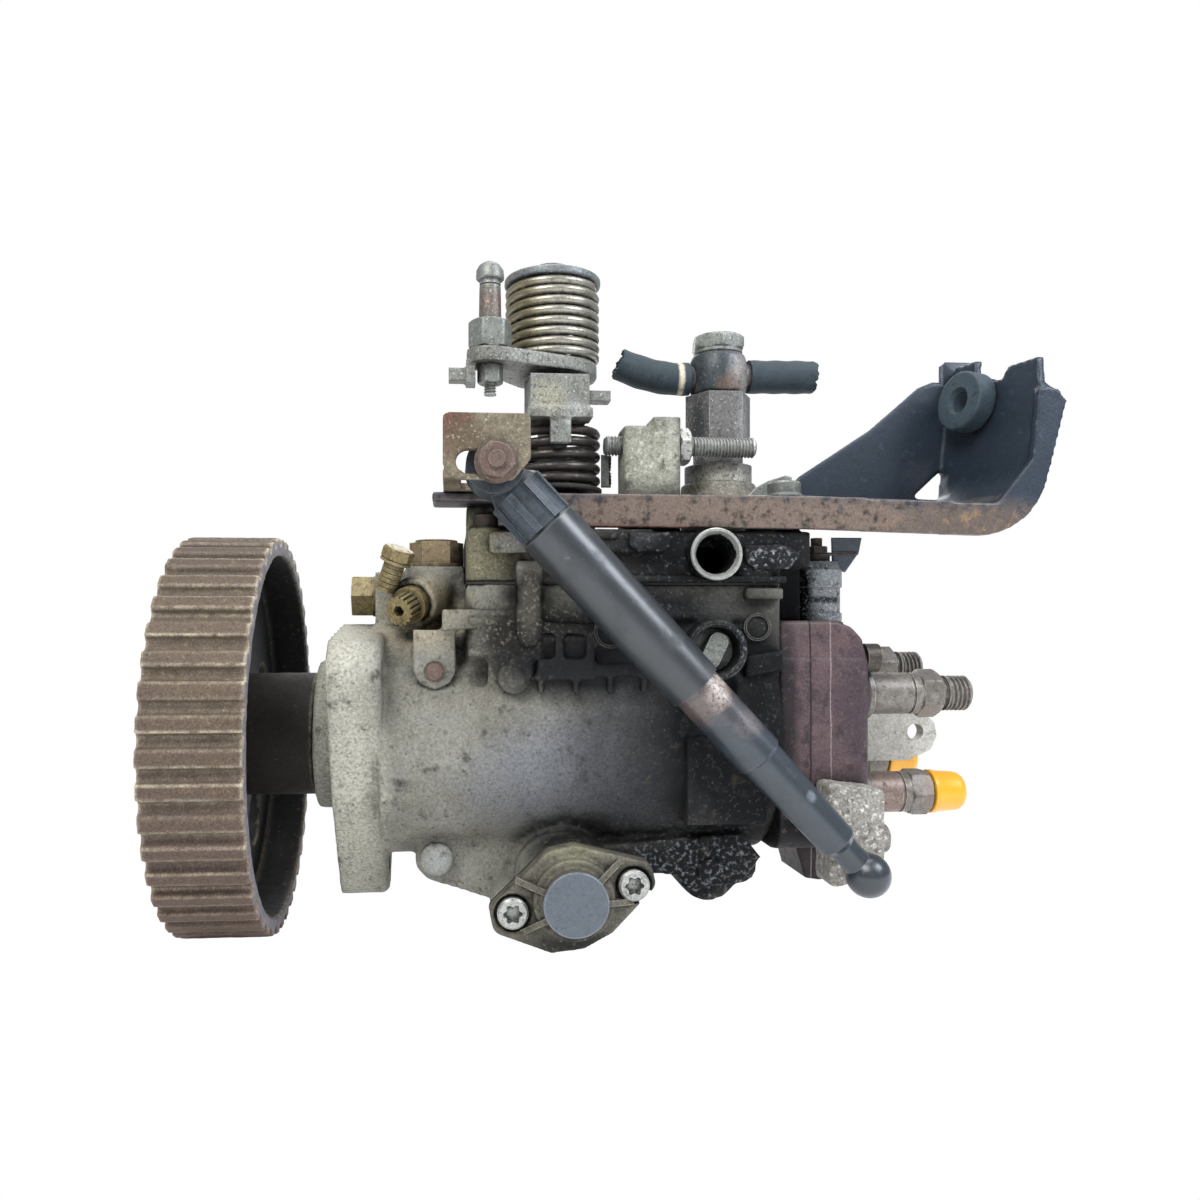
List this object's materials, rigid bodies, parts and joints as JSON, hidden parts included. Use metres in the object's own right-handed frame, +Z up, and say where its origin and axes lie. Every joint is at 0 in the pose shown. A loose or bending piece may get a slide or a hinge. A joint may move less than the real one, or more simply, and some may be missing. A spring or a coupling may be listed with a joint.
{
  "type": "diesel injection pump",
  "caption": "Rotary distributor diesel injection pump with toothed belt pulley, governor cover, throttle lever, cable bracket, damper strut and delivery outlets.",
  "frame": {"origin": "centre of the mounting flange's mating face, on the drive shaft's axis", "axes": "+X along the drive shaft from the pulley towards the outlets, +Z up towards the throttle lever, -Y is the side with the strut and the fuel inlet"},
  "size_m": [0.2815, 0.1397, 0.2233],
  "materials": {
    "cast_aluminium": "rough cast, oily dirt",
    "cover_aluminium": "rough cast, oily dirt",
    "pulley_steel": "sintered steel with brown rust",
    "shaft_steel": "ground",
    "dark_steel": "phosphated",
    "head_steel": "brown, oily",
    "valve_steel": "phosphated, worn",
    "seal_rubber": "matt",
    "gasket_fibre": "matt",
    "yellow_plastic": "glossy",
    "zinc_plate": "zinc plated",
    "bracket_paint": "dark paint with rust",
    "strut_plastic": "moulded, dull",
    "strut_paint": "worn paint",
    "spring_steel": "oily",
    "lever_zinc": "zinc plated, dull",
    "brass_fitting": "tarnished",
    "bronze_bush": "plain",
    "hose_rubber": "dusty"
  },
  "bodies": {
    "pump_body": {"pump_housing": "cast_aluminium", "oil_seal": "seal_rubber", "shaft_bush": "bronze_bush", "feed_ring": "shaft_steel", "governor_shaft": "shaft_steel", "lever_spindle": "shaft_steel", "plunger_springs": "spring_steel", "timing_spring": "spring_steel", "timing_gaskets": "gasket_fibre", "timing_covers": "cover_aluminium", "timing_screws": "dark_steel", "pressure_valve": "brass_fitting", "screw_plugs": "brass_fitting", "port_plug": "zinc_plate", "distributor_head": "head_steel", "head_screws": "dark_steel", "delivery_valve_holders": "valve_steel", "valve_lug_plate": "zinc_plate", "support_foot": "cast_aluminium", "stop_solenoid": "zinc_plate", "solenoid_terminal": "dark_steel", "governor_cover": "cover_aluminium", "cover_gasket": "gasket_fibre", "cover_screws": "dark_steel", "cable_bracket": "bracket_paint", "cable_grommet": "hose_rubber", "slot_bracket": "dark_steel", "bracket_bolts": "dark_steel", "lower_spring": "spring_steel", "adjusting_screw": "dark_steel", "overflow_adaptor": "valve_steel", "banjo_fitting": "valve_steel", "banjo_bolt": "valve_steel", "return_hoses": "hose_rubber"},
    "drive": {"belt_pulley": "pulley_steel", "drive_shaft": "shaft_steel", "shaft_key": "shaft_steel", "pulley_nut": "dark_steel", "feed_rotor": "shaft_steel", "drive_gear": "shaft_steel", "cam_plate": "shaft_steel", "pump_plunger": "shaft_steel"},
    "governor_cage": {"flyweight_cage": "shaft_steel", "flyweights": "shaft_steel"},
    "governor_slide": {"governor_sleeve": "shaft_steel"},
    "control_arm": {"control_lever": "shaft_steel"},
    "spill_collar": {"control_collar": "shaft_steel"},
    "timing": {"timing_piston": "shaft_steel"},
    "roller_carrier": {"roller_ring": "shaft_steel"},
    "cold_start": {"cold_start_shaft": "dark_steel"},
    "throttle": {"throttle_shaft": "shaft_steel", "throttle_lever": "lever_zinc", "lever_stud": "dark_steel", "spring_cap": "lever_zinc", "upper_spring": "spring_steel"},
    "strut_upper": {"strut_socket": "strut_plastic", "strut_sleeve": "strut_paint"},
    "strut_lower": {"strut_tube": "strut_paint"},
    "front_cap": {"dust_cap_front": "yellow_plastic"},
    "rear_cap": {"dust_cap_rear": "yellow_plastic"}
  },
  "joints": [
    {"name": "pump_drive_spin", "type": "hinge", "parent": "pump_body", "child": "drive", "pos_m": [0, 0, 0], "axis": [1, 0, 0], "continuous": true},
    {"name": "governor_spin", "type": "hinge", "parent": "pump_body", "child": "governor_cage", "pos_m": [0.05, 0, 0.04072], "axis": [1, 0, 0], "continuous": true},
    {"name": "throttle_swing", "type": "hinge", "parent": "pump_body", "child": "throttle", "pos_m": [0.071, -0.008, 0.1], "axis": [0, 0, 1], "range_deg": [0, 42]},
    {"name": "timing_piston_slide", "type": "slide", "parent": "pump_body", "child": "timing", "axis": [0, 1, 0], "range_m": [0, 0.007], "deforming": ["timing_spring"]},
    {"name": "roller_ring_turn", "type": "hinge", "parent": "pump_body", "child": "roller_carrier", "pos_m": [0.071, 0, 0], "axis": [1, 0, 0], "range_deg": [0, 9.9]},
    {"name": "governor_sleeve_slide", "type": "slide", "parent": "pump_body", "child": "governor_slide", "axis": [1, 0, 0], "range_m": [0, 0.004]},
    {"name": "control_lever_swing", "type": "hinge", "parent": "pump_body", "child": "control_arm", "pos_m": [0.108, 0, 0.024], "axis": [0, 1, 0], "range_deg": [0, 13.8]},
    {"name": "control_collar_slide", "type": "slide", "parent": "pump_body", "child": "spill_collar", "axis": [1, 0, 0], "range_m": [-0.0032, 0]},
    {"name": "cold_start_turn", "type": "hinge", "parent": "pump_body", "child": "cold_start", "pos_m": [0.0258, -0.02, 0.0445], "axis": [-0.4265, -0.8539, -0.2983], "range_deg": [0, 45]},
    {"name": "strut_swing", "type": "hinge", "parent": "pump_body", "child": "strut_upper", "pos_m": [0.049, -0.056, 0.0814], "axis": [0, -1, 0], "range_deg": [0, 55]},
    {"name": "strut_slide", "type": "slide", "parent": "strut_upper", "child": "strut_lower", "axis": [0.682, 0, -0.7314], "range_m": [-0.016, 0]},
    {"name": "dust_cap_front_pull", "type": "slide", "parent": "pump_body", "child": "front_cap", "axis": [1, 0, 0], "range_m": [0, 0.02]},
    {"name": "dust_cap_rear_pull", "type": "slide", "parent": "pump_body", "child": "rear_cap", "axis": [1, 0, 0], "range_m": [0, 0.02]}
  ],
  "couplings": [
    {"joint": "governor_spin", "follows": "pump_drive_spin", "ratio": -1.6},
    {"joint": "roller_ring_turn", "follows": "timing_piston_slide", "rad_per_m": 24.57},
    {"joint": "control_lever_swing", "follows": "governor_sleeve_slide", "rad_per_m": 59.9},
    {"joint": "control_collar_slide", "follows": "governor_sleeve_slide", "ratio": -0.778}
  ]
}
